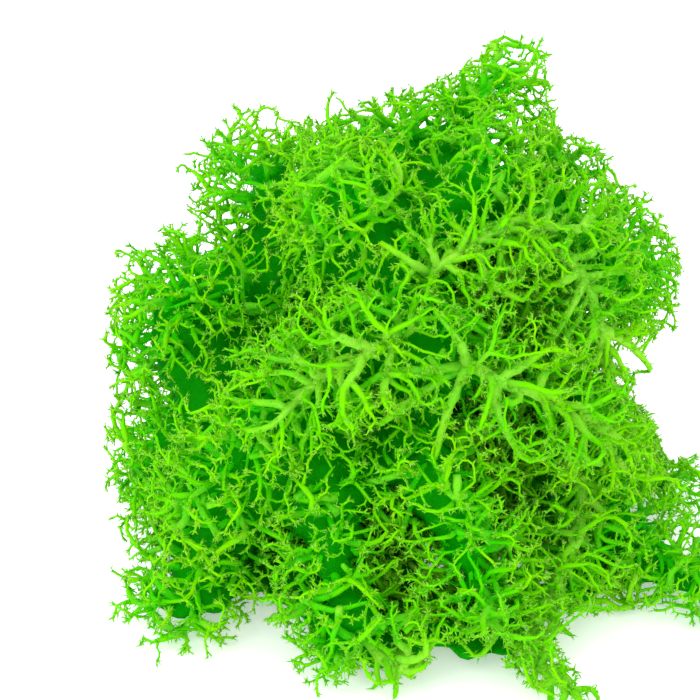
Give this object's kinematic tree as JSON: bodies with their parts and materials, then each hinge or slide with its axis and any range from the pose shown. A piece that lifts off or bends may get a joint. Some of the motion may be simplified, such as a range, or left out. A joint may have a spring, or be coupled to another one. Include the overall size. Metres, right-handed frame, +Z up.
{
  "type": "reindeer moss clump",
  "caption": "Loose clump of bright green reindeer moss, forked stalks tangled round a matted heart, resting on a small flat spot",
  "frame": {"origin": "centre of the small flat spot under the matted heart, on which the clump rests", "axes": "+X to the right as the picture shows it, +Y away from the viewer, +Z up"},
  "size_m": [0.1218, 0.1098, 0.0865],
  "materials": {
    "moss": "soft matt preserved lichen, vivid yellow-green, paler on the tips and along the crests of the stalks, deep green where the branches shade each other",
    "matted_moss": "soft matt preserved lichen, deep green, older stalks matted together inside the clump"
  },
  "bodies": {
    "root": {"back_crown_tuft": "moss", "back_foot_tuft": "moss", "back_low_tuft": "moss", "back_right_tuft": "moss", "back_tuft": "moss", "breast_left_tuft": "moss", "breast_tuft": "moss", "crown_front_tuft": "moss", "crown_left_tuft": "moss", "crown_middle_tuft": "moss", "crown_tuft": "moss", "hub_left_tuft": "moss", "hub_tuft": "moss", "left_back_foot_tuft": "moss", "left_back_tuft": "moss", "left_foot_tuft": "moss", "left_low_tuft": "moss", "left_shoulder_tuft": "moss", "left_tuft": "moss", "matted_heart": "matted_moss", "peak_tuft": "moss", "ridge_tuft": "moss", "right_back_tuft": "moss", "right_foot_tuft": "moss", "right_low_tuft": "moss", "right_tuft": "moss", "shoulder_tuft": "moss", "spine_tuft": "moss", "thick_stem_tuft": "moss", "upper_shoulder_tuft": "moss", "waist_tuft": "moss"}
  },
  "joints": []
}
